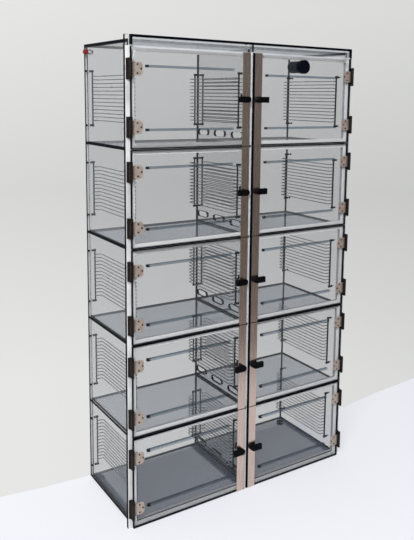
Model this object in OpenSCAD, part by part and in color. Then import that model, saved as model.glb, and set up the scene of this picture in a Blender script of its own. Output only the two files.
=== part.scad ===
// Two-column, five-row desiccator cabinet: a glued sheet-plastic body with a front frame,
// ten gasketed doors on pinned hinges, quarter-turn latches and wire racks for sliding trays.
// Millimetres.  +Z is up, the doors face -Y and X = 0 is the middle of the cabinet's width.
// Row 1 is the top row.

/* [Cabinet] */
// Width of the front frame, which is the widest part of the body
cabinet_w = 924; // [860:1:1000]
// Depth from the front face of the frame to the rear face of the back panel
cabinet_d = 358; // [340:1:440]
// Height of one row, from one shelf to the next
row_pitch = 315; // [300:1:340]
// Height of the fixed strip above the top doors
header_h = 33; // [30:1:45]
// Gap under the bottom doors
floor_gap = 1; // [1:0.5:4]
// Thickness of the side, top, bottom and back panels
wall_t = 9.5; // [8:0.5:11]
// Thickness of the shelves
shelf_t = 9.5; // [6:0.5:11]
// Thickness of the divider between the two columns
divider_t = 9.5; // [6:0.5:10]
// How far the front frame stands out past the body all round
lip = 12; // [11.5:0.5:13]
// Thickness of the front frame
frame_t = 12; // [10:0.5:14]
// Width of the outer stiles of the front frame
stile_w = 29; // [27:0.5:30]
// Width of the rails and of the middle stile of the front frame
rail_w = 31; // [30:0.5:33]

/* [Doors] */
// Thickness of a door panel
door_t = 9; // [8:0.5:10]
// Gap between two doors, one above the other
door_gap = 3; // [3:0.5:5]
// Gap between the free edges of the left and the right door
door_meet_gap = 5; // [5:0.5:7]
// Distance from the outer edge of the frame to the door's hinge edge
door_inset = 14; // [13.5:0.5:15]
// Thickness of the gasket between a door and the frame
gasket_t = 2.8; // [2:0.2:3]
// Width of the gasket
gasket_w = 11; // [9:0.5:12]
// Distance from the door's edges to the gasket
gasket_inset = 4; // [4:0.5:5]
// Running gap between a closed door's gasket and the frame
gasket_gap = 0.2; // [0.1:0.1:0.3]
// Depth of the two stiffening bars behind each door
bar_d = 9.5; // [8:0.5:14]
// Thickness of the stiffening bars
bar_t = 8; // [6:0.5:10]
// Distance from the door's hinge edge to the stiffening bars
bar_outer = 56; // [52:1:75]
// Distance from the door's free edge to the stiffening bars
bar_inner = 64; // [56:1:80]
// Distance of each stiffening bar from the middle of the door's height
bar_off = 98; // [80:1:110]
// Thickness of the header strip
header_t = 12; // [8:1:14]

/* [Door trim] */
// Width of the steel strip along the door's free edge
trim_w = 30; // [26:1:34]
// Thickness of the steel strip
trim_t = 2; // [1.5:0.5:3]
// Distance of the steel strip from the door's free edge
trim_inset = 7; // [5:0.5:8]

/* [Hinges] */
// Distance of each hinge from the middle of the door's height
hinge_off = 88.5; // [80:0.5:100]
// Height of the door leaf and of the knuckle that turns with it
leaf_h = 41; // [36:1:46]
// Length of the door leaf from the pin to its far edge
leaf_l = 42; // [40:1:48]
// Radius of the door leaf's two corners
leaf_corner_r = 12; // [8:1:14]
// Thickness of the door leaf
leaf_t = 2.5; // [2:0.5:3]
// Height of the bracket that is fixed to the frame
bracket_h = 64; // [60:1:72]
// Radius of the hinge barrel
barrel_r = 5; // [4.5:0.25:5]
// Radius of the hinge pin
pin_r = 2; // [1.5:0.25:2.25]
// Gap between the knuckles
knuckle_gap = 0.3; // [0.2:0.1:0.5]
// Radius of the hinge screws' heads
screw_head_r = 2.8; // [2:0.2:3.2]
// Height of the hinge screws' heads
screw_head_h = 1.2; // [0.8:0.2:1.6]

/* [Latches] */
// Distance of the latch spindle from the middle of the cabinet
latch_x = 25; // [23.5:0.5:26]
// Radius of the latch's hub
hub_r = 10.5; // [10:0.5:12]
// How far the hub stands in front of the steel strip
hub_l = 17; // [12:1:22]
// Length of the lever from the spindle to its tip
lever_l = 34; // [28:1:42]
// Height of the lever
lever_h = 20; // [14:1:20]
// Depth of the lever
lever_d = 11; // [8:1:12]
// Radius of the latch spindle
spindle_r = 5; // [4:0.25:5]
// Length of the cam from the spindle to its tip
cam_l = 18; // [15:0.5:18]
// Width of the cam
cam_w = 9; // [8:0.5:10]
// Thickness of the cam
cam_t = 3; // [2.5:0.5:4]
// Gap between the turned cam and the rear face of the frame
cam_gap = 0.5; // [0.3:0.1:1]

/* [Racks] */
// Distance between one tray wire and the next
wire_pitch = 12.7; // [12.5:0.1:13]
// Number of tray wires in a rack
wire_count = 13; // [9:1:13]
// Diameter of the tray wires
wire_d = 3; // [2.5:0.25:4]
// Distance from the upright to the middle of the wire's long run
wire_reach = 22; // [18:1:24]
// Inside radius of the bends in a tray wire
wire_bend_r = 6; // [4:0.5:8]
// Distance between the upper and the lower bolt of an upright
bolt_span = 185; // [182:1:190]
// Height of the lower bolts above the middle of the shelf
bolt_low = 61; // [50:1:70]
// Distance from the wall to the inner face of an upright
upright_d = 14; // [10:1:16]
// Width of an upright along the wall
upright_w = 6; // [5:0.5:8]
// Thickness of an upright
upright_t = 3; // [2.5:0.25:4]
// Radius of the round ends of an upright
upright_eye_r = 5; // [4.5:0.25:5.5]
// Distance from the front of the frame to the middle of the front uprights
upright_front = 44; // [38:1:60]
// Distance from the inside of the back panel to the middle of the rear uprights
upright_rear = 8; // [8:1:20]
// Radius of the rack bolts
bolt_r = 2.5; // [2:0.25:3]
// Radius of the rack bolts' heads and spacers
bolt_head_r = 3.9; // [3.5:0.1:3.9]
// Height of the rack bolts' heads
bolt_head_h = 3; // [2:0.5:4]
// Height of the rack bolts' nuts
bolt_nut_h = 2.5; // [2:0.5:4]
// Thickness of the side panel left in front of the ends of the front screws
bolt_blind = 2.5; // [2:0.5:4]

/* [Purge gas] */
// Length of each slot in the divider
slot_l = 70; // [40:1:76]
// Height of each slot in the divider
slot_h = 22; // [14:1:30]
// Height of the slots' middle above the middle of the shelf
slot_up = 33; // [28:1:36]
// Distance from the front frame to the middle of the first slot
slot_front = 63; // [50:1:70]
// Distance from the back panel to the middle of the last slot
slot_rear = 45; // [42:1:60]
// Radius of the hole for the gas fitting
port_r = 6; // [5:0.5:7]
// Distance of the gas fitting from the inside of the back panel
port_back = 14; // [13:1:40]
// Distance of the gas fitting below the inside of the top panel
port_down = 16; // [14:1:40]
// Radius of the tube that the fitting takes
tube_r = 3.2; // [2:0.1:3.5]
// How far the gas fitting stands out of the side panel
port_out = 11; // [9:0.5:11.5]
// Radius of the relief valve's cap
valve_cap_r = 24; // [20:1:26]
// Length of the relief valve's cap in front of the door
valve_cap_l = 15; // [8:1:18]
// Radius of the relief valve's body behind the door
valve_body_r = 21; // [16:1:23]
// Length of the relief valve's body behind the door
valve_body_l = 48; // [30:1:60]
// Radius of the relief valve's neck through the door
valve_neck_r = 12; // [8:1:14]
// Distance of the relief valve from the middle of its door, towards the latch
valve_in = 11; // [0:1:20]
// Distance of the relief valve below the top edge of its door
valve_down = 39; // [32:1:42]

/* [Feet] */
// Radius of the two rear feet
foot_r = 14; // [10:1:18]
// Distance of the rear feet from the outside of the body
foot_inset = 30; // [24:1:60]

/* [Hidden] */
$fn = 48;
rows = 5;
SIDES = [-1, 1];
SIDE_NAMES = ["left", "right"];
running_gap = 0.05;
quarter = 90;
through = 1;

cabinet_h = floor_gap + rows * row_pitch + header_h;
half_w = cabinet_w / 2;
body_half_w = half_w - lip;
chamber_half_w = body_half_w - wall_t;
body_top = cabinet_h - lip;

// Depth stations.  The whole box, latches included, is centred on Y = 0.
front_reach = gasket_gap + gasket_t + door_t + trim_t + hub_l;
frame_front = (front_reach - cabinet_d) / 2;
frame_back = frame_front + frame_t;
body_back = frame_front + cabinet_d;
chamber_back = body_back - wall_t;
door_back = frame_front - gasket_gap - gasket_t;
door_front = door_back - door_t;

// Door outline, given for the left door and mirrored for the right one.
door_outer = -half_w + door_inset;
door_inner = -door_meet_gap / 2;
door_w = door_inner - door_outer;
door_h = row_pitch - door_gap;
gasket_outer_r = 3;
gasket_inner_r = 6;

// Hinges
hinge_clear = 0.6;
hinge_out = 4;
hinge_x = door_outer - hinge_out;
hinge_y = door_front - barrel_r - hinge_clear;
leaf_start = 2;
bracket_front = hinge_y + barrel_r + knuckle_gap;
bracket_foot = [-half_w + 2, door_outer - 1];
bracket_foot_t = 2.5;
bracket_neck = [-2.5, 1.2];
outer_knuckle_h = (bracket_h - leaf_h) / 2 - knuckle_gap;
pin_head_r = barrel_r - 0.4;
pin_tip_r = barrel_r - 2;
pin_head_h = 1.5;
LEAF_SCREWS = [[leaf_l - 18, 13.3], [leaf_l - 5.4, 0], [leaf_l - 18, -13.3]];
screw_slot_w = 0.8;
screw_slot_d = 0.7;

// Latches
cam_y = frame_back + cam_gap;
cam_nut_r = 6.5;
cam_nut_h = 3;
hub_chamfer = 1.5;

// Racks
wire_first = bolt_low + (bolt_span - (wire_count - 1) * wire_pitch) / 2;
upright_y = [frame_front + upright_front, chamber_back - upright_rear];
// Each wall that carries racks: position of its face and the way into the chamber
RACK_WALLS = [[-chamber_half_w, 1], [-divider_t / 2, -1], [divider_t / 2, 1], [chamber_half_w, -1]];

// Gas path
slots_per_row = 3;
valve_bar_gap = 9;
valve_x = -(door_outer + door_inner) / 2 - valve_in;
port_flange_r = 9;
port_flange_t = 4;
port_collar = 1;
port_inside = 12;
tube_stop = 16;
tube_step = 1;
port_nut_h = 6;
port_nut_wall = 4;
port_y = chamber_back - port_back;
port_z = body_top - wall_t - port_down;

// The shelf line under a row, counted from the top
function row_z(row) = floor_gap + (rows - row) * row_pitch;
function door_name(piece, side, row) = str(piece, "_", SIDE_NAMES[side], "_", row);

// ---- helpers ----

// A box between two corners
module slab(low, high) {
    translate(low) cube(high - low);
}

// A cylinder along Y, from y towards the back
module rod_y(x, y, z, r, l) {
    translate([x, y, z]) rotate([-90, 0, 0]) cylinder(r = r, h = l);
}

// A cylinder along X, from x towards the right
module rod_x(x, y, z, r, l) {
    translate([x, y, z]) rotate([0, 90, 0]) cylinder(r = r, h = l);
}

// Draws its children for the left column, or mirrored for the right one
module on_side(side) {
    mirror([SIDES[side] > 0 ? 1 : 0, 0, 0]) children();
}

// ---- body ----

module side_panel(side) {
    color("lightgray", 0.35) difference() {
        on_side(side) slab([-body_half_w, frame_back, lip], [-chamber_half_w, body_back, body_top]);
        for (row = [1:rows], up = [0, bolt_span]) on_side(side) {
            z = row_z(row) + bolt_low + up;
            rod_x(-chamber_half_w - wall_t + bolt_blind, upright_y[0], z, bolt_r + running_gap, wall_t);
            rod_x(-body_half_w - through, upright_y[1], z, bolt_r + running_gap, wall_t + 2 * through);
        }
        if (side == 0)
            rod_x(-body_half_w - through, port_y, port_z, port_r + running_gap, wall_t + 2 * through);
    }
}

module back_panel() {
    color("lightgray", 0.35)
        slab([-chamber_half_w, chamber_back, lip], [chamber_half_w, body_back, body_top]);
}

module top_panel() {
    color("lightgray", 0.35)
        slab([-chamber_half_w, frame_back, body_top - wall_t], [chamber_half_w, chamber_back, body_top]);
}

module bottom_panel() {
    color("slategray", 0.5)
        slab([-chamber_half_w, frame_back, lip], [chamber_half_w, chamber_back, lip + wall_t]);
}

// One through slot in the divider, with round ends
module divider_slot(y, z) {
    half = (slot_l - slot_h) / 2;
    for (end = [-half, half]) rod_x(-divider_t, y + end, z, slot_h / 2, 2 * divider_t);
    slab([-divider_t, y - half, z - slot_h / 2], [divider_t, y + half, z + slot_h / 2]);
}

module centre_divider() {
    slot_pitch = (chamber_back - slot_rear - frame_back - slot_front) / (slots_per_row - 1);
    color("lightgray", 0.35) difference() {
        slab([-divider_t / 2, frame_back, lip + wall_t], [divider_t / 2, chamber_back, body_top - wall_t]);
        for (row = [1:rows]) {
            for (i = [0:slots_per_row - 1])
                divider_slot(frame_back + slot_front + i * slot_pitch,
                             row_z(row) + slot_up + (row == rows ? lip : 0));
            for (y = upright_y, up = [0, bolt_span])
                rod_x(-divider_t, y, row_z(row) + bolt_low + up, bolt_r + running_gap, 2 * divider_t);
        }
    }
}

module shelves() {
    color("slategray", 0.5) for (row = [1:rows - 1], side = [0, 1]) on_side(side)
        slab([-chamber_half_w, frame_back, row_z(row) - shelf_t / 2],
             [-divider_t / 2, chamber_back, row_z(row) + shelf_t / 2]);
}

module frame_stiles() {
    color("lightgray", 0.5) {
        for (side = [0, 1]) on_side(side)
            slab([-half_w, frame_front, 0], [-half_w + stile_w, frame_back, cabinet_h]);
        slab([-rail_w / 2, frame_front, 0], [rail_w / 2, frame_back, cabinet_h]);
    }
}

// One rail of the front frame, in the left column
module frame_rail(z_low, z_high) {
    slab([-half_w + stile_w, frame_front, z_low], [-rail_w / 2, frame_back, z_high]);
}

module frame_rails() {
    color("lightgray", 0.5) for (side = [0, 1]) on_side(side) {
        frame_rail(0, lip + wall_t);
        for (row = [1:rows - 1]) frame_rail(row_z(row) - rail_w / 2, row_z(row) + rail_w / 2);
        frame_rail(row_z(0) - rail_w / 2, cabinet_h);
    }
}

module header_strip() {
    color("dimgray", 0.6)
        slab([door_outer, frame_front - header_t, row_z(0) + door_gap / 2],
             [-door_outer, frame_front, cabinet_h]);
}

module rear_feet() {
    color("black") for (s = SIDES)
        translate([s * (body_half_w - foot_inset), body_back - foot_inset, 0]) cylinder(r = foot_r, h = lip);
}

// ---- doors ----

module door_panel(side, row) {
    z = row_z(row) + door_gap / 2;
    mid = row_z(row) + row_pitch / 2;
    color("lightblue", 0.35) on_side(side) {
        difference() {
            slab([door_outer, door_front, z], [door_inner, door_back, z + door_h]);
            rod_y(-latch_x, door_front - through, mid, spindle_r + running_gap, door_t + 2 * through);
            if (has_valve(side, row))
                rod_y(-valve_x, door_front - through, valve_z(), valve_neck_r, door_t + 2 * through);
        }
        for (bar_z = [mid - bar_off, has_valve(side, row) ? valve_bar_z() : mid + bar_off])
            slab([door_outer + bar_outer, door_back, bar_z - bar_t / 2],
                 [door_inner - bar_inner, door_back + bar_d, bar_z + bar_t / 2]);
    }
}

// A plate with round corners, inset from the door's outline, from y_low to y_high
module round_plate(inset, r, y_low, y_high) {
    slab([inset + r, y_low, inset], [door_w - inset - r, y_high, door_h - inset]);
    slab([inset, y_low, inset + r], [door_w - inset, y_high, door_h - inset - r]);
    for (x = [inset + r, door_w - inset - r], z = [inset + r, door_h - inset - r])
        rod_y(x, y_low, z, r, y_high - y_low);
}

// A foam ring on the back of the door, which seals against the frame
module door_gasket(side, row) {
    z = row_z(row) + door_gap / 2;
    color("whitesmoke") on_side(side) translate([door_outer, door_back, z]) difference() {
        round_plate(gasket_inset, gasket_outer_r, 0, gasket_t);
        round_plate(gasket_inset + gasket_w, gasket_inner_r, -through, gasket_t + through);
    }
}

// The door's half of a hinge: a leaf with two round corners and the middle knuckle
module door_leaf(z) {
    low = z - leaf_h / 2;
    high = z + leaf_h / 2;
    corner_x = hinge_x + leaf_l - leaf_corner_r;
    difference() {
        union() {
            slab([hinge_x + leaf_start, door_front - leaf_t, low], [corner_x, door_front, high]);
            slab([corner_x - 1, door_front - leaf_t, low + leaf_corner_r],
                 [hinge_x + leaf_l, door_front, high - leaf_corner_r]);
            for (corner_z = [low + leaf_corner_r, high - leaf_corner_r])
                rod_y(corner_x, door_front - leaf_t, corner_z, leaf_corner_r, leaf_t);
            translate([hinge_x, hinge_y, low]) cylinder(r = barrel_r, h = leaf_h);
        }
        translate([hinge_x, hinge_y, z - leaf_h]) cylinder(r = pin_r + running_gap, h = 2 * leaf_h);
    }
}

// Screw heads with a cross recess
module door_leaf_screws(z) {
    head_front = door_front - leaf_t - screw_head_h;
    for (at = LEAF_SCREWS) difference() {
        rod_y(hinge_x + at.x, head_front, z + at.y, screw_head_r, screw_head_h);
        for (half = [[screw_head_r - 1, screw_slot_w / 2], [screw_slot_w / 2, screw_head_r - 1]])
            slab([hinge_x + at.x - half.x, head_front - 1, z + at.y - half.y],
                 [hinge_x + at.x + half.x, head_front + screw_slot_d, z + at.y + half.y]);
    }
}

module door_steel(side, row) {
    z = row_z(row) + door_gap / 2;
    mid = row_z(row) + row_pitch / 2;
    color("rosybrown") on_side(side) {
        difference() {
            slab([door_inner - trim_inset - trim_w, door_front - trim_t, z],
                 [door_inner - trim_inset, door_front, z + door_h]);
            rod_y(-latch_x, door_front - trim_t - through, mid, spindle_r + running_gap, trim_t + 2 * through);
        }
        for (s = SIDES) {
            door_leaf(mid + s * hinge_off);
            door_leaf_screws(mid + s * hinge_off);
        }
    }
}

// ---- hinges, the frame's half ----

// A wedge that leads from the frame to the front of the door, with the two outer knuckles
module hinge_bracket(z) {
    difference() {
        union() {
            translate([0, 0, z - bracket_h / 2]) linear_extrude(bracket_h)
                polygon([[bracket_foot[0], frame_front], [bracket_foot[0], frame_front - bracket_foot_t],
                         [hinge_x + bracket_neck[0], bracket_front], [hinge_x + bracket_neck[1], bracket_front],
                         [bracket_foot[1], frame_front]]);
            for (low = [z - bracket_h / 2, z + bracket_h / 2 - outer_knuckle_h]) {
                slab([hinge_x + bracket_neck[0], hinge_y, low],
                     [hinge_x + bracket_neck[1], bracket_front + knuckle_gap, low + outer_knuckle_h]);
                translate([hinge_x, hinge_y, low]) cylinder(r = barrel_r, h = outer_knuckle_h);
            }
        }
        translate([hinge_x, hinge_y, z - bracket_h]) cylinder(r = pin_r + running_gap, h = 2 * bracket_h);
    }
}

module hinge_brackets() {
    color("saddlebrown") for (row = [1:rows], side = [0, 1], s = SIDES) on_side(side)
        hinge_bracket(row_z(row) + row_pitch / 2 + s * hinge_off);
}

// Pins with a tapered head at both ends
module hinge_pins() {
    color("dimgray") for (row = [1:rows], side = [0, 1], s = SIDES) on_side(side)
        translate([hinge_x, hinge_y, row_z(row) + row_pitch / 2 + s * hinge_off]) {
            translate([0, 0, -bracket_h / 2]) cylinder(r = pin_r, h = bracket_h);
            translate([0, 0, bracket_h / 2]) cylinder(r1 = pin_head_r, r2 = pin_tip_r, h = pin_head_h);
            translate([0, 0, -bracket_h / 2 - pin_head_h])
                cylinder(r1 = pin_tip_r, r2 = pin_head_r, h = pin_head_h);
        }
}

// ---- latches ----

// Hub and lever in front of the door, spindle through it and a cam behind the frame's stile.
// The lever lies level and the cam stands up, clear of the stile; a quarter turn engages it.
module latch(side, row) {
    front = door_front - trim_t;
    mid = row_z(row) + row_pitch / 2;
    color("black") on_side(side) {
        rod_y(-latch_x, front - hub_l + hub_chamfer, mid, hub_r, hub_l - hub_chamfer);
        translate([-latch_x, front - hub_l, mid]) rotate([-90, 0, 0])
            cylinder(r1 = hub_r - hub_chamfer, r2 = hub_r, h = hub_chamfer);
        slab([-latch_x - lever_l, front - hub_l, mid - lever_h / 2],
             [-latch_x, front - hub_l + lever_d, mid + lever_h / 2]);
        rod_y(-latch_x, front - 1, mid, spindle_r, cam_y - front + 1);
        rod_y(-latch_x, cam_y, mid, cam_w / 2, cam_t);
        slab([-latch_x - cam_w / 2, cam_y, mid], [-latch_x + cam_w / 2, cam_y + cam_t, mid + cam_l]);
        translate([-latch_x, cam_y + cam_t, mid]) rotate([-90, 0, 0])
            cylinder(r = cam_nut_r, h = cam_nut_h, $fn = 6);
    }
}

// ---- racks ----

// A flat bar that stands off a wall face, with a round eye for a bolt at each end
module upright(face, inward, y, z) {
    translate([face, y, z]) mirror([inward < 0 ? 1 : 0, 0, 0]) difference() {
        union() {
            slab([upright_d - upright_t, -upright_w / 2, 0], [upright_d, upright_w / 2, bolt_span]);
            for (up = [0, bolt_span]) rod_x(upright_d - upright_t, 0, up, upright_eye_r, upright_t);
        }
        for (up = [0, bolt_span]) rod_x(0, 0, up, bolt_r + running_gap, upright_d + 1);
    }
}

module rack_uprights() {
    color("black") for (wall = RACK_WALLS, row = [1:rows], y = upright_y)
        upright(wall[0], wall[1], y, row_z(row) + bolt_low);
}

// One U-shaped tray wire, its legs ending on the two uprights
module tray_wire(face, inward, z) {
    r = wire_d / 2;
    bend = wire_bend_r + r;
    length = upright_y[1] - upright_y[0];
    translate([face, upright_y[0], z]) mirror([inward < 0 ? 1 : 0, 0, 0]) {
        for (y = [0, length]) rod_x(upright_d, y, 0, r, wire_reach - bend);
        rod_y(upright_d + wire_reach, bend, 0, r, length - 2 * bend);
        for (end = [[bend, -quarter], [length - bend, 0]])
            translate([upright_d + wire_reach - bend, end[0], 0]) rotate([0, 0, end[1]])
                rotate_extrude(angle = quarter) translate([bend, 0]) circle(r = r, $fn = 16);
    }
}

module rack_wires(side) {
    color("silver") for (wall = [2 * side, 2 * side + 1], row = [1:rows], i = [0:wire_count - 1])
        tray_wire(RACK_WALLS[wall][0], RACK_WALLS[wall][1], row_z(row) + wire_first + i * wire_pitch);
}

// One spacer and one nut, either side of an upright that stands on the wall at x
module spacer_and_nut(x, y, z) {
    rod_x(x, y, z, bolt_head_r, upright_d - upright_t);
    rod_x(x + upright_d, y, z, bolt_head_r, bolt_nut_h);
}

// Rear bolts go through the side panels with a head outside.  Front screws end inside the panels.
module rack_bolts() {
    color("black") for (row = [1:rows], up = [0, bolt_span]) {
        z = row_z(row) + bolt_low + up;
        for (side = [0, 1], y = upright_y) on_side(side) {
            tip = y == upright_y[0] ? wall_t - bolt_blind : wall_t;
            rod_x(-chamber_half_w - tip, y, z, bolt_r, tip + upright_d + bolt_nut_h);
            spacer_and_nut(-chamber_half_w, y, z);
            spacer_and_nut(divider_t / 2, y, z);
        }
        for (side = [0, 1]) on_side(side)
            rod_x(-body_half_w - bolt_head_h, upright_y[1], z, bolt_head_r, bolt_head_h);
        for (y = upright_y)
            rod_x(-divider_t / 2 - upright_d, y, z, bolt_r, divider_t + 2 * upright_d);
    }
}

// ---- gas path ----

module gas_inlet_fitting() {
    outside = -body_half_w - port_out;
    color("firebrick") difference() {
        union() {
            rod_x(-body_half_w - port_flange_t, port_y, port_z, port_flange_r, port_flange_t);
            rod_x(outside, port_y, port_z, port_r + port_collar, port_out);
            rod_x(-body_half_w, port_y, port_z, port_r, wall_t + port_inside);
        }
        rod_x(outside - through, port_y, port_z, tube_r, tube_stop + through);
        rod_x(outside, port_y, port_z, tube_r - tube_step, port_out + wall_t + port_inside + through);
    }
}

module gas_inlet_nut() {
    color("silver") difference() {
        translate([-chamber_half_w, port_y, port_z]) rotate([0, 90, 0])
            cylinder(r = port_r + port_nut_wall, h = port_nut_h, $fn = 6);
        rod_x(-chamber_half_w - through, port_y, port_z, port_r + running_gap, port_nut_h + 2 * through);
    }
}

function has_valve(side, row) = side == 1 && row == 1;
function valve_z() = row_z(0) - door_gap / 2 - valve_down;
// The upper bar of the valve's door sits lower, to clear the valve
function valve_bar_z() = valve_z() - valve_body_r - valve_bar_gap - bar_t / 2;

// Cap in front of the door, neck through it and body behind it
module relief_valve() {
    color("black") {
        rod_y(valve_x, door_front - valve_cap_l, valve_z(), valve_cap_r, valve_cap_l);
        rod_y(valve_x, door_front, valve_z(), valve_neck_r, door_t);
        rod_y(valve_x, door_back, valve_z(), valve_body_r, valve_body_l);
    }
}

// ---- output ----

side_panel(0);  // side_panel_left
side_panel(1);  // side_panel_right
back_panel();
top_panel();
bottom_panel();
centre_divider();
shelves();
frame_stiles();
frame_rails();
header_strip();
hinge_brackets();
hinge_pins();
rack_uprights();
rack_wires(0);  // rack_wires_left
rack_wires(1);  // rack_wires_right
rack_bolts();
gas_inlet_fitting();
gas_inlet_nut();
rear_feet();
relief_valve();
for (row = [1:rows], side = [0, 1]) {
    door_panel(side, row);
    door_gasket(side, row);
    door_steel(side, row);
    latch(side, row);
}
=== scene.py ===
"""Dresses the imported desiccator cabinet: clear smoky sheet, steel trim, black latches and wire racks."""
import math

import bpy
from mathutils import Matrix, Vector


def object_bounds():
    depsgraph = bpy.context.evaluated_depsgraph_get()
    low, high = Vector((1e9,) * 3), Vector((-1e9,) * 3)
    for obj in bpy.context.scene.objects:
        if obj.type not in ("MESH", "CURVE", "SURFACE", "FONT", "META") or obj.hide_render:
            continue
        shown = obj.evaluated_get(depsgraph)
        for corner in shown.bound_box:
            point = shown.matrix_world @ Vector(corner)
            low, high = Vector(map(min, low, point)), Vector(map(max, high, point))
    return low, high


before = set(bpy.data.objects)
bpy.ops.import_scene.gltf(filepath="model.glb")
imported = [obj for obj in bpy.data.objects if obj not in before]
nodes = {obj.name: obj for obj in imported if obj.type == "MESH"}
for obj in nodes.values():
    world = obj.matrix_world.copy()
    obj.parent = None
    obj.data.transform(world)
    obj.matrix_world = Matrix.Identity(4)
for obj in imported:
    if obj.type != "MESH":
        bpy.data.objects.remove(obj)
CAD_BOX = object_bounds()

SIDES = ("left", "right")
ROWS = range(1, 6)

# ---- camera, from the fit to the cabinet's corners ----
CAMERA_AT = Vector((-1.35667, -2.10546, 1.42305))
CAMERA_YAW = 0.5940
CAMERA_PITCH = -0.1393
CAMERA_ROLL = 0.0151
CAMERA_REACH = 100
FOCAL_PX = 688.61
CENTRE_PX = (237.59, 194.65)
IMAGE = (414, 540)
SENSOR_MM = 36.0


def add_camera():
    longest = max(IMAGE)
    camera = bpy.data.cameras.new("camera")
    camera.lens = FOCAL_PX / longest * SENSOR_MM
    camera.sensor_width = SENSOR_MM
    camera.shift_x = (IMAGE[0] / 2 - CENTRE_PX[0]) / longest
    camera.shift_y = (CENTRE_PX[1] - IMAGE[1] / 2) / longest
    camera.clip_end = CAMERA_REACH
    ahead = Vector((math.sin(CAMERA_YAW) * math.cos(CAMERA_PITCH),
                    math.cos(CAMERA_YAW) * math.cos(CAMERA_PITCH),
                    math.sin(CAMERA_PITCH)))
    level = Vector((math.cos(CAMERA_YAW), -math.sin(CAMERA_YAW), 0))
    up = level.cross(ahead)
    right = level * math.cos(CAMERA_ROLL) + up * math.sin(CAMERA_ROLL)
    up = up * math.cos(CAMERA_ROLL) - level * math.sin(CAMERA_ROLL)
    turn = Matrix((right, up, -ahead)).transposed().to_4x4()
    obj = bpy.data.objects.new("camera", camera)
    obj.matrix_world = Matrix.Translation(CAMERA_AT) @ turn
    bpy.context.scene.collection.objects.link(obj)
    bpy.context.scene.camera = obj


# ---- places in the part's frame, in metres, read from the CAD nodes where they can be ----
def span(name, axis):
    """The lowest and the highest place of a CAD node along an axis, rounded to a micrometre."""
    places = [corner["XYZ".index(axis)] for corner in nodes[name].bound_box]
    return round(min(places), 6), round(max(places), 6)


CABINET_H = round(CAD_BOX[1][2], 6)
BODY_LOW, BOTTOM_FACE = span("bottom_panel", "Z")
TOP_FACE, BODY_TOP = span("top_panel", "Z")
SHELF_T = BODY_TOP - TOP_FACE
CHAMBER_HALF_W = span("side_panel_right", "X")[0]
DIVIDER_HALF_T = span("centre_divider", "X")[1]
STILE_INNER = span("frame_rails", "X")[1]

DOOR_INNER, DOOR_OUTER = span("door_panel_right_1", "X")
DOOR_FRONT = span("door_panel_right_1", "Y")[0]
DOOR_BACK = span("door_gasket_right_1", "Y")[0]
DOOR_LOW = span("door_panel_right_1", "Z")[0]
DOOR_BELOW_LOW, DOOR_BELOW_TOP = span("door_panel_right_2", "Z")
ROW = DOOR_LOW - DOOR_BELOW_LOW
DOOR_GAP = DOOR_LOW - DOOR_BELOW_TOP
FLOOR_GAP = span("door_panel_right_5", "Z")[0] - DOOR_GAP / 2
HEADER_LOW = FLOOR_GAP + ROW * len(ROWS)
BOTTOM_ROW_MIDDLE = ROW / 2
TOP_ROW_MIDDLE = ROW * (len(ROWS) - 0.5)

# Limits of the painted zones.  HAIR keeps a limit clear of a face that lies on it, and a zone reaches
# OVERLAP under its neighbour.
HAIR = 0.0001
OVERLAP = 0.0005
DOOR_BORDER = 0.0021
INNER_EDGE_TO = span("door_steel_right_1", "X")[0] + OVERLAP
DARK_EDGE_DEPTH = 0.003
DARK_EDGE_TO = DOOR_FRONT + DARK_EDGE_DEPTH
LEAF_T = 0.0025
LEAF_FROM = 0.3
LEAF_FRONT = DOOR_FRONT - LEAF_T
LEAF_SHADE = 0.012
KNUCKLE_FROM = DOOR_OUTER - OVERLAP
BAR_FROM_OUTER_EDGE = 0.056
BAR_FROM_INNER_EDGE = 0.064
BAR_OUTER = DOOR_OUTER - BAR_FROM_OUTER_EDGE
BAR_INNER = DOOR_INNER + BAR_FROM_INNER_EDGE
# How far the painted shade reaches in from a bar's left end
BAR_DARK_END = 0.013
HEADER_BORDER = 0.008
HEADER_JOINT = 0.0035
HEADER_END = 0.494
HEADER_GAP = 0.003
FOOT_LINE = 0.004
WALL_INSIDE = 0.001
WALL_JOINT = 0.004
PALE_EDGE_DEPTH = 0.005
PALE_TO = CHAMBER_HALF_W + PALE_EDGE_DEPTH
# Width of the painted shade along the walls on the bottom sheet
WALL_SHADE_BAND = 0.022

# ---- tones ----
# Edge tones are painted: a clear sheet's edge has no tone of its own. EDGE, SHELF_EDGE, FRAME_EDGE and
# BAR_END are painted shade for the dark look that refraction and internal reflection give a clear edge, and
# EDGE also paints the dark joint lines and borders. PALE_EDGE and WHITE_EDGE are painted light for edges that
# let light through.
EDGE = (0.002, 0.003, 0.006)
PALE_EDGE = (0.5, 0.52, 0.53)
WHITE_EDGE = (0.85, 0.85, 0.86)
SHELF_EDGE = (0.1, 0.11, 0.125)
FRAME_EDGE = (0.3, 0.31, 0.32)
BAR_END = (0.003, 0.003, 0.004)
HAZE = (0.62, 0.65, 0.69)
FRAME_HAZE = (0.84, 0.84, 0.85)
BAR_HAZE = (0.3, 0.35, 0.38)
PANEL_TINT = (0.905, 0.907, 0.908)
FRAME_TINT = (0.985, 0.987, 0.99)
SHELF_TINT = (0.79, 0.805, 0.825)
# The bottom sheet's tint is partly its smoky colour and partly painted shade for the cabinet's shadow on the
# floor beneath.
FLOOR_TINT_AND_SHADE = (0.54, 0.558, 0.575)
# Painted shade along the walls, on the bottom sheet
WALL_SHADE_TINT = (0.2, 0.23, 0.28)
HEADER_TINT = (0.84, 0.865, 0.885)
DOOR_TINT = (0.925, 0.925, 0.93)
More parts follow.
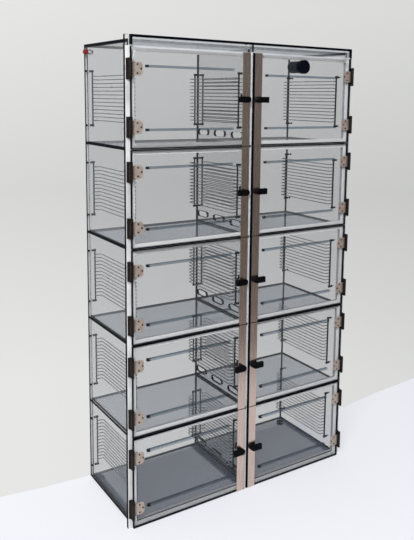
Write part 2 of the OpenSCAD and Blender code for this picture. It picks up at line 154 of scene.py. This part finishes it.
# The bars' tints are partly their smoky colour and partly painted reflection: darkened for the dark floor
# that the bars reflect.
BAR_TINT_AND_REFLECTION = (0.36, 0.42, 0.46)
BAR_TOP_TINT_AND_REFLECTION = (0.5, 0.56, 0.61)
STRIP_TONES = ((0.50, 0.40, 0.345), (0.68, 0.55, 0.475))
LEAF_TONES = ((0.32, 0.26, 0.225), (0.46, 0.385, 0.34))
KNUCKLE_TONES = ((0.003, 0.002, 0.0015), (0.012, 0.008, 0.006))

# ---- how the sheet takes light ----
SHEET_IOR = 1.49
DUST = 0.02
DUST_SPREAD = 0.3
BAR_DUST = 0.08
FRAME_MILK = 0.7
SMEAR_SCALE = 9
SMEAR_ROUGH = (0.04, 0.12)
GLANCE_POWER = 4.0
GLANCE_SHARE = 0.3
SAWN_GRAIN = 300
SAWN_ROUGH = (0.2, 0.4)
SAWN_SPECULAR = 0.01

# ---- the doors' steel ----
BRUSH_GRAIN = 14
BRUSH_STRETCH = (60, 60, 1)
BRUSH_RELIEF = 0.08
STRIP_ROUGH = (0.18, 0.3)
MOTTLE_GRAIN = 120
LEAF_METALLIC = 0.35
LEAF_ROUGH = (0.35, 0.5)
LEAF_SHADE_SHARE = 0.9
KNUCKLE_SPECULAR = 0.2
KNUCKLE_ROUGH = (0.3, 0.45)

# The part of a noise's range that is used, and how squarely a face looks along an axis to count
NOISE_SPAN = (0.3, 0.7)
FACING = 0.7


# ---- node helpers ----
def new_material(name):
    material = bpy.data.materials.new(name)
    material.use_nodes = True
    tree = material.node_tree
    tree.nodes.clear()
    out = tree.nodes.new("ShaderNodeOutputMaterial")
    return material, tree, out


def node(tree, kind, **inputs):
    made = tree.nodes.new(kind)
    for key, value in inputs.items():
        made.inputs[key.replace("_", " ")].default_value = value
    return made


def math_node(tree, operation, a, b=None):
    made = tree.nodes.new("ShaderNodeMath")
    made.operation = operation
    for socket, value in zip(made.inputs, (a, b)):
        if value is None:
            continue
        if isinstance(value, (int, float)):
            socket.default_value = value
        else:
            tree.links.new(value, socket)
    return made.outputs[0]


def over(tree, value, limit):
    """1 where the value is over the limit, otherwise 0."""
    return math_node(tree, "GREATER_THAN", value, limit)


def below(tree, value, limit):
    """1 where the value is below the limit, otherwise 0."""
    return math_node(tree, "LESS_THAN", value, limit)


def both(tree, first, second):
    """1 where both masks are 1."""
    return math_node(tree, "MULTIPLY", first, second)


def either(tree, *masks):
    """1 where any of the masks is 1."""
    made = masks[0]
    for mask in masks[1:]:
        made = math_node(tree, "MAXIMUM", made, mask)
    return made


def between(tree, value, low, high):
    return both(tree, over(tree, value, low), below(tree, value, high))


def ramp(tree, source, low, high, to_low, to_high):
    """Maps low..high to to_low..to_high, and stays level outside."""
    made = tree.nodes.new("ShaderNodeMapRange")
    for key, value in (("From Min", low), ("From Max", high), ("To Min", to_low), ("To Max", to_high)):
        made.inputs[key].default_value = value
    tree.links.new(source, made.inputs["Value"])
    return made.outputs["Result"]


def spread(tree, source, low, high):
    """Maps a noise value to the range low to high."""
    return ramp(tree, source, *NOISE_SPAN, low, high)


def mix(tree, share, first, second):
    """The first shader where the share is 0, the second where it is 1."""
    made = tree.nodes.new("ShaderNodeMixShader")
    tree.links.new(share, made.inputs["Fac"])
    tree.links.new(first, made.inputs[1])
    tree.links.new(second, made.inputs[2])
    return made.outputs[0]


def two_tones(tree, source, tones):
    """The first tone where the source is 0, the second where it is 1."""
    made = tree.nodes.new("ShaderNodeMix")
    made.data_type = "RGBA"
    made.inputs["A"].default_value = (*tones[0], 1)
    made.inputs["B"].default_value = (*tones[1], 1)
    tree.links.new(source, made.inputs["Factor"])
    return made.outputs["Result"]


def coordinate(tree, axis, source="Object"):
    """One coordinate of the surface point, or of its normal, in the object's own frame."""
    coord = tree.nodes.new("ShaderNodeTexCoord")
    split = tree.nodes.new("ShaderNodeSeparateXYZ")
    tree.links.new(coord.outputs[source], split.inputs[0])
    return split.outputs["XYZ".index(axis)]


def from_middle(tree):
    """How far the surface point is to either side of the cabinet's middle."""
    return math_node(tree, "ABSOLUTE", coordinate(tree, "X"))


def faces(tree, axis):
    """1 on the faces that look along the axis."""
    return over(tree, math_node(tree, "ABSOLUTE", coordinate(tree, axis, "Normal")), FACING)


def noise(tree, scale, detail=4.0, stretch=(1, 1, 1)):
    """A noise texture in the object's own coordinates, stretched along its axes."""
    coord = tree.nodes.new("ShaderNodeTexCoord")
    mapping = tree.nodes.new("ShaderNodeMapping")
    mapping.inputs["Scale"].default_value = stretch
    tree.links.new(coord.outputs["Object"], mapping.inputs["Vector"])
    made = node(tree, "ShaderNodeTexNoise", Scale=scale, Detail=detail)
    tree.links.new(mapping.outputs["Vector"], made.inputs["Vector"])
    return made.outputs["Fac"]


def bump(tree, source, strength, distance=0.0002):
    made = node(tree, "ShaderNodeBump", Strength=strength, Distance=distance)
    tree.links.new(source, made.inputs["Height"])
    return made.outputs["Normal"]


# ---- clear sheet ----
def edge_look(tree, tone):
    """An opaque, nearly matt shader in the given tone. On the clear sheets it paints the look of an edge, a
    joint or a gap: painted shade where the tone is dark, painted light where it is pale.
    """
    sawn = node(tree, "ShaderNodeBsdfPrincipled", Base_Color=(*tone, 1), IOR=SHEET_IOR,
                Specular_IOR_Level=SAWN_SPECULAR)
    tree.links.new(spread(tree, noise(tree, SAWN_GRAIN, 2), *SAWN_ROUGH), sawn.inputs["Roughness"])
    return sawn.outputs[0]


def see_through(tree, tint, haze=HAZE, haze_share=DUST):
    """A clear face: tinted, dusty, and glossier at a slant."""
    clear = node(tree, "ShaderNodeBsdfTransparent", Color=(*tint, 1))
    smear = noise(tree, SMEAR_SCALE)
    gloss = node(tree, "ShaderNodeBsdfPrincipled", Base_Color=(*haze, 1), IOR=SHEET_IOR)
    tree.links.new(spread(tree, smear, *SMEAR_ROUGH), gloss.inputs["Roughness"])
    slant = node(tree, "ShaderNodeLayerWeight", Blend=0.5)
    glance = math_node(tree, "POWER", slant.outputs["Facing"], GLANCE_POWER)
    glance = math_node(tree, "MULTIPLY", glance, GLANCE_SHARE)
    dust = spread(tree, smear, haze_share * (1 - DUST_SPREAD), haze_share * (1 + DUST_SPREAD))
    return mix(tree, math_node(tree, "ADD", glance, dust), clear.outputs[0], gloss.outputs[0])


def sheet(name, thin_axis, tint, edge=EDGE, on_edges=None, on_face=None, joints=None):
    """Clear plastic sheet: see-through faces with a smoky tint, and opaque edges painted with the look of a
    clear edge.

    on_edges(tree, edges) and on_face(tree, face) change a part of the edges or of the face. The function
    given last is 1 where the face is painted dark: where another sheet's edge is cemented to it, and along
    the header's borders and middle joint. This dark is painted shade for the look of those edges."""
    material, tree, out = new_material(name)
    edges = edge_look(tree, edge)
    if on_edges:
        edges = on_edges(tree, edges)
    face = see_through(tree, tint)
    if on_face:
        face = on_face(tree, face)
    if joints:
        face = mix(tree, joints(tree), face, edge_look(tree, edge))
    tree.links.new(mix(tree, faces(tree, thin_axis), edges, face), out.inputs["Surface"])
    return material


def pale_inside(tree, edges):
    """A side panel's front and rear edges are pale over their inner half: painted light for the light that
    the clear edge lets through.
    """
    pale = both(tree, faces(tree, "Y"), below(tree, from_middle(tree), PALE_TO))
    return mix(tree, pale, edges, edge_look(tree, PALE_EDGE))


def clear_at_header_gap(tree, edges):
    """The edges on both sides of the gap above the top doors let light through."""
    at_gap = between(tree, coordinate(tree, "Z"), HEADER_LOW - HEADER_GAP, HEADER_LOW + HEADER_GAP)
    return mix(tree, at_gap, edges, see_through(tree, FRAME_TINT))


def shade_beside_walls(tree, face):
    """The bottom panel is darker along the side panels and the divider: painted shade where the walls stand
    on it.
    """
    away = from_middle(tree)
    by_side = over(tree, away, CHAMBER_HALF_W - WALL_SHADE_BAND)
    beside = either(tree, by_side, below(tree, away, DIVIDER_HALF_T + WALL_SHADE_BAND))
    return mix(tree, beside, face, see_through(tree, WALL_SHADE_TINT))


def shelf_joints(tree):
    """1 where the shelves, the top and the bottom are cemented to an upright panel.

    They show on the inner faces, and on the left also on the outer face. The dark line is painted shade for
    the look of the cemented edge."""
    z = coordinate(tree, "Z")
    above_joint = math_node(tree, "ADD", z, ROW - FLOOR_GAP + SHELF_T / 2)
    at_shelf = below(tree, math_node(tree, "MODULO", above_joint, ROW), SHELF_T)
    at_shelf = both(tree, at_shelf, between(tree, z, BOTTOM_ROW_MIDDLE, TOP_ROW_MIDDLE))
    joint = either(tree, at_shelf, over(tree, z, TOP_FACE), below(tree, z, BOTTOM_FACE))
    inner = below(tree, from_middle(tree), CHAMBER_HALF_W + WALL_INSIDE)
    on_left = below(tree, coordinate(tree, "X"), 0)
    return both(tree, joint, either(tree, inner, on_left))


def wall_joints(tree):
    """1 where the bottom panel's upper face meets the divider and the side panels. The dark painted there is
    painted shade for the look of the walls' edges.
    """
    away = from_middle(tree)
    joint = either(tree, below(tree, away, DIVIDER_HALF_T), over(tree, away, CHAMBER_HALF_W - WALL_JOINT))
    return both(tree, joint, over(tree, coordinate(tree, "Z"), (BODY_LOW + BOTTOM_FACE) / 2))


def header_border(tree):
    """1 along the header's top edge, at its ends and at the joint in its middle, which show dark. This dark
    is painted shade for the look of the sheet's edges and of the joint.
    """
    top = over(tree, coordinate(tree, "Z"), CABINET_H - HEADER_BORDER)
    along = math_node(tree, "SUBTRACT", coordinate(tree, "X", "Generated"), 0.5)
    ends = over(tree, math_node(tree, "ABSOLUTE", along), HEADER_END)
    return either(tree, top, below(tree, from_middle(tree), HEADER_JOINT), ends)


def frame_sheet(name):
    """The front frame: milky in front of the chambers, clear behind the header, dark on its outside.

    A dark line runs along the foot of the lowest openings."""
    material, tree, out = new_material(name)
    z = coordinate(tree, "Z")
    away = from_middle(tree)
    clear = see_through(tree, FRAME_TINT)
    milky = see_through(tree, FRAME_TINT, FRAME_HAZE, FRAME_MILK)
    # Painted shade: the dark outer edges and the FRAME_EDGE inner edges below the header stand for the dark
    # look of clear edges.
    dark = edge_look(tree, EDGE)
    in_header = over(tree, z, HEADER_LOW)
    foot = both(tree, between(tree, z, BOTTOM_FACE - FOOT_LINE, BOTTOM_FACE), below(tree, away, STILE_INNER))
    face = mix(tree, foot, mix(tree, in_header, milky, clear), dark)
    inner_edges = mix(tree, in_header, edge_look(tree, FRAME_EDGE), clear)
    edges = mix(tree, over(tree, away, DOOR_OUTER), inner_edges, dark)
    tree.links.new(mix(tree, faces(tree, "Y"), edges, face), out.inputs["Surface"])
    return material


# ---- doors ----
def door_border(tree):
    """1 along a door's outline.  The top edge of row 1 and the left doors' inner edges stay clear. The border
    is painted shade for the dark gaps between the doors and the dark look of their edges.
    """
    above_line = math_node(tree, "ADD", coordinate(tree, "Z"), ROW - FLOOR_GAP)
    in_row = math_node(tree, "MODULO", above_line, ROW)
    away = from_middle(tree)
    top = both(tree, over(tree, in_row, ROW - DOOR_GAP / 2 - DOOR_BORDER),
               below(tree, coordinate(tree, "Z"), TOP_ROW_MIDDLE))
    bottom = below(tree, in_row, DOOR_GAP / 2 + DOOR_BORDER)
    outer = over(tree, away, DOOR_OUTER - DOOR_BORDER)
    right_inner = both(tree, below(tree, away, INNER_EDGE_TO), over(tree, coordinate(tree, "X"), 0))
    return either(tree, top, bottom, outer, right_inner)


def door_panel(tree):
    """The door's own sheet.

    Its inner edge is white, but dark at the front of the right doors, so that a pale and a dark line run
    between the two middle strips. The white is painted light and the dark painted shade, for the look of
    clear edges."""
    edges = clear_at_header_gap(tree, edge_look(tree, EDGE))
    on_left = below(tree, coordinate(tree, "X"), 0)
    left_or_rear = either(tree, on_left, over(tree, coordinate(tree, "Y"), DARK_EDGE_TO))
    inner = both(tree, faces(tree, "X"), below(tree, from_middle(tree), INNER_EDGE_TO))
    edges = mix(tree, both(tree, left_or_rear, inner), edges, edge_look(tree, WHITE_EDGE))
    face = mix(tree, door_border(tree), see_through(tree, DOOR_TINT), edge_look(tree, EDGE))
    return mix(tree, faces(tree, "Y"), edges, face)


def door_bars(tree):
    """The stiffening bars behind the door's sheet, each dark near its left end: painted shade for the dark
    look of the clear bar's end.
    """
    x = coordinate(tree, "X")
    top = see_through(tree, BAR_TOP_TINT_AND_REFLECTION, BAR_HAZE)
    front = see_through(tree, BAR_TINT_AND_REFLECTION, BAR_HAZE, BAR_DUST)
    dark_end = either(tree, below(tree, x, BAR_DARK_END - BAR_OUTER), between(tree, x, 0, BAR_INNER + BAR_DARK_END))
    return mix(tree, dark_end, mix(tree, faces(tree, "Y"), top, front), edge_look(tree, BAR_END))


def door_sheet(name):
    material, tree, out = new_material(name)
    is_bar = over(tree, coordinate(tree, "Y"), DOOR_BACK + HAIR)
    tree.links.new(mix(tree, is_bar, door_panel(tree), door_bars(tree)), out.inputs["Surface"])
    return material


def finish(tree, source, tones, rough, **inputs):
    """An opaque shader whose tone and roughness vary with a noise."""
    shader = node(tree, "ShaderNodeBsdfPrincipled", **inputs)
    tree.links.new(two_tones(tree, spread(tree, source, 0, 1), tones), shader.inputs["Base Color"])
    tree.links.new(spread(tree, source, *rough), shader.inputs["Roughness"])
    return shader


def door_steel(name):
    """Brushed steel strip, lighter hinge leaves with dark screws, and dark knuckles. Near the knuckle the
    leaf is darkened with painted shade.
    """
    material, tree, out = new_material(name)
    brushed = noise(tree, BRUSH_GRAIN, stretch=BRUSH_STRETCH)
    strip = finish(tree, brushed, STRIP_TONES, STRIP_ROUGH, Metallic=1.0)
    tree.links.new(bump(tree, brushed, BRUSH_RELIEF), strip.inputs["Normal"])
    mottle = noise(tree, MOTTLE_GRAIN)
    leaf = finish(tree, mottle, LEAF_TONES, LEAF_ROUGH, Metallic=LEAF_METALLIC)
    knuckle = finish(tree, mottle, KNUCKLE_TONES, KNUCKLE_ROUGH, Specular_IOR_Level=KNUCKLE_SPECULAR)
    strip, leaf, knuckle = (shader.outputs[0] for shader in (strip, leaf, knuckle))
    away = from_middle(tree)
    # Painted shade: the leaf darkens towards the knuckle over LEAF_SHADE, up to LEAF_SHADE_SHARE of the
    # knuckle's dark tone.
    shade = ramp(tree, away, KNUCKLE_FROM - LEAF_SHADE, KNUCKLE_FROM, 0, LEAF_SHADE_SHARE)
    shader = mix(tree, over(tree, away, LEAF_FROM), strip, mix(tree, shade, leaf, knuckle))
    before_leaf = math_node(tree, "SUBTRACT", 1.0, over(tree, coordinate(tree, "Y"), LEAF_FRONT - HAIR))
    shader = mix(tree, before_leaf, shader, knuckle)
    shader = mix(tree, over(tree, away, KNUCKLE_FROM), shader, knuckle)
    tree.links.new(shader, out.inputs["Surface"])
    return material


# ---- opaque pieces ----
def solid(name, dark, light, rough, grain, metallic=0.0, relief=0.0, specular=0.5):
    """An opaque finish whose tone, roughness and relief vary with a noise."""
    material, tree, out = new_material(name)
    source = noise(tree, grain)
    shader = finish(tree, source, (dark, light), rough, Metallic=metallic, Specular_IOR_Level=specular)
    if relief:
        tree.links.new(bump(tree, source, relief), shader.inputs["Normal"])
    tree.links.new(shader.outputs[0], out.inputs["Surface"])
    return material


MATERIALS = {
    "side": sheet("side sheet", "X", PANEL_TINT, on_edges=pale_inside, joints=shelf_joints),
    "divider": sheet("divider sheet", "X", PANEL_TINT, joints=shelf_joints),
    "back": sheet("back sheet", "Y", PANEL_TINT),
    "top": sheet("top sheet", "Z", PANEL_TINT),
    "header": sheet("header sheet", "Y", HEADER_TINT, on_edges=clear_at_header_gap, joints=header_border),
    "door": door_sheet("door sheet"),
    "frame": frame_sheet("frame sheet"),
    "shelf": sheet("shelf sheet", "Z", SHELF_TINT, SHELF_EDGE),
    "bottom": sheet("bottom sheet", "Z", FLOOR_TINT_AND_SHADE, on_face=shade_beside_walls, joints=wall_joints),
    "gasket": solid("gasket foam", (0.74, 0.75, 0.75), (0.82, 0.83, 0.83), rough=(0.7, 0.9), grain=500,
                    relief=0.3),
    "trim": door_steel("door steel"),
    "bracket": solid("hinge brackets", (0.003, 0.002, 0.0015), (0.014, 0.009, 0.007), rough=(0.3, 0.5),
                     grain=160, specular=0.1),
    "pin": solid("hinge pins", (0.002, 0.002, 0.002), (0.008, 0.006, 0.006), rough=(0.25, 0.4), grain=60,
                 specular=0.2),
    "upright": solid("rack uprights", (0.004, 0.004, 0.005), (0.01, 0.01, 0.012), rough=(0.35, 0.5), grain=50,
                     specular=0.08),
    "wire": solid("tray wires", (0.13, 0.135, 0.145), (0.22, 0.225, 0.235), rough=(0.25, 0.4), grain=40,
                  metallic=1.0),
    "nut": solid("gas fitting nut", (0.5, 0.51, 0.51), (0.6, 0.61, 0.61), rough=(0.3, 0.4), grain=90,
                 metallic=0.3),
    "black": solid("black plastic", (0.0015, 0.0015, 0.002), (0.004, 0.004, 0.005), rough=(0.4, 0.55),
                   grain=90, relief=0.1, specular=0.04),
    "red": solid("red fitting", (0.16, 0.006, 0.01), (0.24, 0.012, 0.016), rough=(0.25, 0.4), grain=80),
    "valve": solid("valve plastic", (0.001, 0.0015, 0.004), (0.003, 0.004, 0.01), rough=(0.4, 0.55), grain=80,
                   relief=0.1, specular=0.05),
    "rubber": solid("foot rubber", (0.012, 0.012, 0.012), (0.025, 0.025, 0.025), rough=(0.6, 0.8), grain=90,
                    relief=0.2),
}

FINISHES = {
    "side_panel_left": "side", "side_panel_right": "side", "back_panel": "back", "top_panel": "top",
    "bottom_panel": "bottom", "centre_divider": "divider", "shelves": "shelf", "frame_stiles": "frame",
    "frame_rails": "frame", "header_strip": "header", "hinge_brackets": "bracket", "hinge_pins": "pin",
    "rack_uprights": "upright", "rack_wires_left": "wire", "rack_wires_right": "wire", "rack_bolts": "black",
    "gas_inlet_fitting": "red", "gas_inlet_nut": "nut", "rear_feet": "rubber", "relief_valve": "valve",
}
DOOR_FINISHES = {"door_panel": "door", "door_gasket": "gasket", "door_steel": "trim", "latch": "black"}


def dress(name, finish_name):
    slots = nodes[name].data.materials
    slots.clear()
    slots.append(MATERIALS[finish_name])


for node_name, finish_name in FINISHES.items():
    dress(node_name, finish_name)
for row in ROWS:
    for side in SIDES:
        for piece, finish_name in DOOR_FINISHES.items():
            dress(f"{piece}_{side}_{row}", finish_name)


# ---- stage and light ----
# Where the pale floor ends behind the cabinet, as (x, y) in metres from left to right
FLOOR_REAR = ((-6.0, 1.03), (-0.768, 0.252), (-0.613, 0.229), (0.727, 0.131), (1.013, 0.172), (1.319, 0.196),
              (6.0, 0.56))
FLOOR_END = -12.0
PALE_FLOOR_FRONT = (-1.33, -0.97)
FLOOR_TONES = ((0.82, 0.82, 0.87), (0.87, 0.87, 0.92))
FLOOR_GLOW = (0.87, 0.87, 0.935)
FLOOR_GLOW_SHARE = 0.6
DARK_FLOOR = (0.2, 0.19, 0.185)
FLOOR_ROUGH = 0.85
FLOOR_MOTTLE = 0.5

# The world's tones by direction: x to the right, y towards the wall behind the cabinet, z up
ROOM_TONE = 0.21
WALL_FROM = (-0.35, 0.2)
WALL_ACROSS = (0.26, 0.75)
WALL_TONES = (0.675, 0.575)
WALL_DIP_AT = -0.13
WALL_DIP_REACH = 0.25
WALL_DIP = 0.12
WORLD_COLOUR = (1, 1, 0.993)

KEY_AT = (-2.6, -3.0, 3.4)
KEY_AIM = (0, 0, 0.8)
KEY_SIZE = (2.0, 2.0)
KEY_WATTS = 260


def shown_by(tree):
    """1 for what the camera sees, also in a mirror or through glass."""
    path = tree.nodes.new("ShaderNodeLightPath")
    return either(tree, *(path.outputs[f"Is {kind} Ray"] for kind in ("Camera", "Glossy", "Transmission")))


def floor_material():
    """A pale sheet under the cabinet, which ends softly in front of it, and the room's floor beyond."""
    material, tree, out = new_material("floor")
    matt = node(tree, "ShaderNodeBsdfPrincipled", Roughness=FLOOR_ROUGH)
    mottle = spread(tree, noise(tree, FLOOR_MOTTLE, 3.0), 0, 1)
    tree.links.new(two_tones(tree, mottle, FLOOR_TONES), matt.inputs["Base Color"])
    glow = node(tree, "ShaderNodeEmission", Color=(*FLOOR_GLOW, 1))
    share = math_node(tree, "MULTIPLY", shown_by(tree), FLOOR_GLOW_SHARE)
    pale = mix(tree, share, matt.outputs[0], glow.outputs[0])
    dark = node(tree, "ShaderNodeBsdfPrincipled", Base_Color=(*DARK_FLOOR, 1), Roughness=FLOOR_ROUGH)
    on_sheet = ramp(tree, coordinate(tree, "Y"), *PALE_FLOOR_FRONT, 0, 1)
    tree.links.new(mix(tree, on_sheet, dark.outputs[0], pale), out.inputs["Surface"])
    return material


def add_floor():
    corners = [(x, y, 0) for x, y in FLOOR_REAR]
    corners += [(FLOOR_REAR[-1][0], FLOOR_END, 0), (FLOOR_REAR[0][0], FLOOR_END, 0)]
    mesh = bpy.data.meshes.new("floor")
    mesh.from_pydata(corners, [], [tuple(reversed(range(len(corners))))])
    floor = bpy.data.objects.new("floor", mesh)
    bpy.context.scene.collection.objects.link(floor)
    floor.data.materials.append(floor_material())


def add_lamp(name, at, aim, size, watts):
    light = bpy.data.lights.new(name, "AREA")
    light.energy = watts
    light.shape = "RECTANGLE"
    light.size, light.size_y = size
    obj = bpy.data.objects.new(name, light)
    obj.location = at
    obj.rotation_euler = (Vector(aim) - Vector(at)).to_track_quat("-Z", "Y").to_euler()
    bpy.context.scene.collection.objects.link(obj)


def set_world():
    """A pale wall behind the cabinet, darker to the right and near the floor, and a darker room in front."""
    world = bpy.data.worlds.new("studio")
    world.use_nodes = True
    tree = world.node_tree
    x, y, z = (coordinate(tree, axis, "Generated") for axis in "XYZ")
    wall = ramp(tree, x, *WALL_ACROSS, *WALL_TONES)
    from_dip = math_node(tree, "ABSOLUTE", math_node(tree, "SUBTRACT", z, WALL_DIP_AT))
    wall = math_node(tree, "ADD", wall, ramp(tree, from_dip, 0, WALL_DIP_REACH, 0, WALL_DIP))
    is_wall = ramp(tree, y, *WALL_FROM, 0, 1)
    tone = math_node(tree, "MULTIPLY", math_node(tree, "SUBTRACT", wall, ROOM_TONE), is_wall)
    tone = math_node(tree, "ADD", tone, ROOM_TONE)
    tree.links.new(tone, tree.nodes["Background"].inputs["Strength"])
    tree.nodes["Background"].inputs["Color"].default_value = (*WORLD_COLOUR, 1)
    bpy.context.scene.world = world


add_camera()
add_floor()
set_world()
add_lamp("key", KEY_AT, KEY_AIM, KEY_SIZE, KEY_WATTS)

scene = bpy.context.scene
scene.view_settings.view_transform = "Standard"
scene.cycles.max_bounces = 32
scene.cycles.transparent_max_bounces = 64
scene.cycles.transmission_bounces = 24
